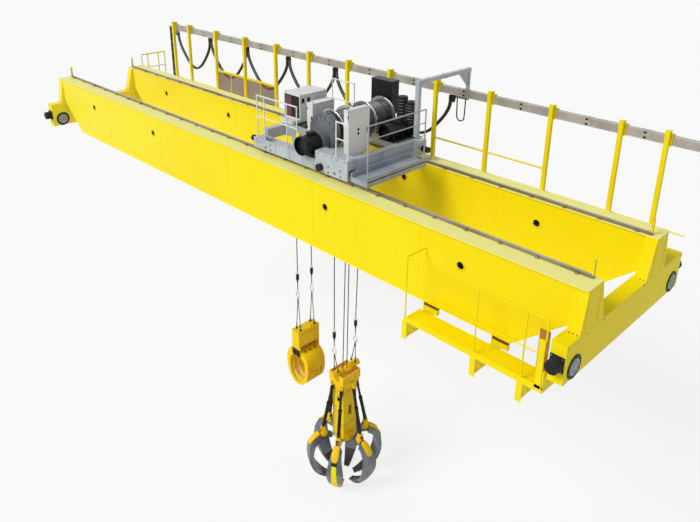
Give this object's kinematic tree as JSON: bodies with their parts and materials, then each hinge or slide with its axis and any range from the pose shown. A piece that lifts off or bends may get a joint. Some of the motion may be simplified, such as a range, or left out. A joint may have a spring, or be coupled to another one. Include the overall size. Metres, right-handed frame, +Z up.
{
  "type": "overhead bridge crane",
  "caption": "Double girder overhead bridge crane with walkway, trailing cables, travelling crab, multi tine grab and small two jaw grab.",
  "frame": {"origin": "On the underside of the left end carriage, at its middle between the two girders.", "axes": "+X runs along the girders from the left carriage to the right one, +Y from the low platform side to the walkway side, +Z up."},
  "size_m": [15.378, 4.24, 9.125],
  "materials": {
    "bridge_yellow": "satin paint",
    "crab_grey": "satin paint",
    "motor_black": "satin paint",
    "rail_steel": "worn rolled steel",
    "wheel_steel": "turned cast steel",
    "track_grey": "galvanised",
    "panel_brown": "tinted sheet",
    "drum_steel": "greased steel",
    "rope_steel": "greased wire rope",
    "cable_black": "matt sheath",
    "buffer_black": "matt",
    "cabinet_grey": "powder coat",
    "tine_steel": "worn cast steel",
    "strut_black": "satin paint"
  },
  "bodies": {
    "bridge": {"front_girder": "bridge_yellow", "rear_girder": "bridge_yellow", "crab_rails": "rail_steel", "left_end_carriage": "bridge_yellow", "right_end_carriage": "bridge_yellow", "carriage_buffers": "buffer_black", "walkway": "bridge_yellow", "walkway_posts": "bridge_yellow", "cable_track": "track_grey", "guard_panels": "panel_brown", "walkway_rails": "bridge_yellow", "supply_riser": "motor_black", "service_platform": "bridge_yellow", "platform_rail": "bridge_yellow", "cable_loop_1": "cable_black"},
    "front_runway_wheels": {"front_bridge_wheels": "wheel_steel"},
    "rear_runway_wheels": {"rear_bridge_wheels": "wheel_steel"},
    "crab": {"crab_frame": "crab_grey", "crab_drives": "motor_black", "hoist_gearcase": "crab_grey", "crab_motors": "motor_black", "small_winch": "drum_steel", "crab_cabinets": "cabinet_grey", "crab_hand_rails": "cabinet_grey", "step_platform": "crab_grey", "tow_arm": "crab_grey", "tow_loop": "cable_black", "rope_leads": "rope_steel", "guide_sheaves": "drum_steel", "main_hoist_ropes": "rope_steel", "small_hoist_ropes": "rope_steel"},
    "drums": {"hoist_drums": "drum_steel"},
    "left_wheels": {"left_crab_wheels": "wheel_steel"},
    "right_wheels": {"right_crab_wheels": "wheel_steel"},
    "main_grab": {"grab_trunk": "bridge_yellow", "grab_struts": "strut_black", "main_rope_ends": "rope_steel"},
    "small_grab": {"small_grab_box": "bridge_yellow", "small_rope_ends": "rope_steel"},
    "jaw_left": {"small_jaw_left": "bridge_yellow"},
    "jaw_right": {"small_jaw_right": "bridge_yellow"},
    "tine_1": {"grab_tine_1": "tine_steel"},
    "tine_2": {"grab_tine_2": "tine_steel"},
    "tine_3": {"grab_tine_3": "tine_steel"},
    "tine_4": {"grab_tine_4": "tine_steel"},
    "tine_5": {"grab_tine_5": "tine_steel"},
    "tine_6": {"grab_tine_6": "tine_steel"},
    "carrier_1": {"cable_carrier_1": "motor_black", "cable_loop_2": "cable_black"},
    "carrier_2": {"cable_carrier_2": "motor_black", "cable_loop_3": "cable_black"},
    "carrier_3": {"cable_carrier_3": "motor_black", "cable_loop_4": "cable_black"},
    "carrier_4": {"cable_carrier_4": "motor_black", "cable_loop_5": "cable_black"},
    "carrier_5": {"cable_carrier_5": "motor_black", "cable_loop_6": "cable_black"},
    "carrier_6": {"cable_carrier_6": "motor_black"}
  },
  "joints": [
    {"name": "front_wheels_roll", "type": "hinge", "parent": "bridge", "child": "front_runway_wheels", "pos_m": [0, -1.34, 0.17], "axis": [1, 0, 0], "continuous": true},
    {"name": "rear_wheels_roll", "type": "hinge", "parent": "bridge", "child": "rear_runway_wheels", "pos_m": [0, 1.74, 0.17], "axis": [1, 0, 0], "continuous": true},
    {"name": "trolley_travel", "type": "slide", "parent": "bridge", "child": "crab", "axis": [1, 0, 0], "range_m": [-7.95, 3.8], "deforming": ["cable_loop_1", "cable_loop_2", "cable_loop_3", "cable_loop_4", "cable_loop_5", "cable_loop_6"]},
    {"name": "left_wheels_roll", "type": "hinge", "parent": "crab", "child": "left_wheels", "pos_m": [8.56, 0, 1.3903], "axis": [0, 1, 0], "range_deg": [-3800, 1820]},
    {"name": "right_wheels_roll", "type": "hinge", "parent": "crab", "child": "right_wheels", "pos_m": [10.42, 0, 1.3903], "axis": [0, 1, 0], "range_deg": [-3800, 1820]},
    {"name": "main_hoist", "type": "slide", "parent": "crab", "child": "main_grab", "axis": [0, 0, 1], "range_m": [-3, 0.25], "deforming": ["main_hoist_ropes"]},
    {"name": "drum_turn", "type": "hinge", "parent": "crab", "child": "drums", "pos_m": [9.72, 0, 1.9], "axis": [0, 1, 0], "range_deg": [-592, 50]},
    {"name": "small_hoist", "type": "slide", "parent": "crab", "child": "small_grab", "axis": [0, 0, 1], "range_m": [-0.2, 1.6], "deforming": ["small_hoist_ropes"]},
    {"name": "jaw_left_swing", "type": "hinge", "parent": "small_grab", "child": "jaw_left", "pos_m": [8.35, 0, -3.66], "axis": [0, 1, 0], "range_deg": [0, 30]},
    {"name": "jaw_right_swing", "type": "hinge", "parent": "small_grab", "child": "jaw_right", "pos_m": [8.49, 0, -3.66], "axis": [0, 1, 0], "range_deg": [-30, 0]},
    {"name": "carrier_1_travel", "type": "slide", "parent": "bridge", "child": "carrier_1", "axis": [1, 0, 0], "range_m": [-1.327, 0.635]},
    {"name": "carrier_2_travel", "type": "slide", "parent": "carrier_1", "child": "carrier_2", "axis": [1, 0, 0], "range_m": [-1.327, 0.635]},
    {"name": "carrier_3_travel", "type": "slide", "parent": "carrier_2", "child": "carrier_3", "axis": [1, 0, 0], "range_m": [-1.327, 0.635]},
    {"name": "carrier_4_travel", "type": "slide", "parent": "carrier_3", "child": "carrier_4", "axis": [1, 0, 0], "range_m": [-1.327, 0.635]},
    {"name": "carrier_5_travel", "type": "slide", "parent": "carrier_4", "child": "carrier_5", "axis": [1, 0, 0], "range_m": [-1.327, 0.635]},
    {"name": "carrier_6_travel", "type": "slide", "parent": "carrier_5", "child": "carrier_6", "axis": [1, 0, 0], "range_m": [-1.327, 0.635]},
    {"name": "tine_1_swing", "type": "hinge", "parent": "main_grab", "child": "tine_1", "pos_m": [10.15, 0, -5.14], "axis": [0, -1, 0], "range_deg": [-4, 14]},
    {"name": "tine_2_swing", "type": "hinge", "parent": "main_grab", "child": "tine_2", "pos_m": [9.91, 0.41569, -5.14], "axis": [0.866, -0.5, 0], "range_deg": [-4, 14]},
    {"name": "tine_3_swing", "type": "hinge", "parent": "main_grab", "child": "tine_3", "pos_m": [9.43, 0.41569, -5.14], "axis": [0.866, 0.5, 0], "range_deg": [-4, 14]},
    {"name": "tine_4_swing", "type": "hinge", "parent": "main_grab", "child": "tine_4", "pos_m": [9.19, 0, -5.14], "axis": [0, 1, 0], "range_deg": [-4, 14]},
    {"name": "tine_5_swing", "type": "hinge", "parent": "main_grab", "child": "tine_5", "pos_m": [9.43, -0.41569, -5.14], "axis": [-0.866, 0.5, 0], "range_deg": [-4, 14]},
    {"name": "tine_6_swing", "type": "hinge", "parent": "main_grab", "child": "tine_6", "pos_m": [9.91, -0.41569, -5.14], "axis": [-0.866, -0.5, 0], "range_deg": [-4, 14]}
  ],
  "couplings": [
    {"joint": "rear_wheels_roll", "follows": "front_wheels_roll", "ratio": 1},
    {"joint": "left_wheels_roll", "follows": "trolley_travel", "rad_per_m": 8.3333},
    {"joint": "right_wheels_roll", "follows": "trolley_travel", "rad_per_m": 8.3333},
    {"joint": "drum_turn", "follows": "main_hoist", "rad_per_m": 3.436},
    {"joint": "jaw_right_swing", "follows": "jaw_left_swing", "ratio": -1},
    {"joint": "carrier_1_travel", "follows": "trolley_travel", "ratio": 0.16667},
    {"joint": "carrier_2_travel", "follows": "trolley_travel", "ratio": 0.16667},
    {"joint": "carrier_3_travel", "follows": "trolley_travel", "ratio": 0.16667},
    {"joint": "carrier_4_travel", "follows": "trolley_travel", "ratio": 0.16667},
    {"joint": "carrier_5_travel", "follows": "trolley_travel", "ratio": 0.16667},
    {"joint": "carrier_6_travel", "follows": "trolley_travel", "ratio": 0.16667},
    {"joint": "tine_2_swing", "follows": "tine_1_swing", "ratio": 1},
    {"joint": "tine_3_swing", "follows": "tine_1_swing", "ratio": 1},
    {"joint": "tine_4_swing", "follows": "tine_1_swing", "ratio": 1},
    {"joint": "tine_5_swing", "follows": "tine_1_swing", "ratio": 1},
    {"joint": "tine_6_swing", "follows": "tine_1_swing", "ratio": 1}
  ]
}
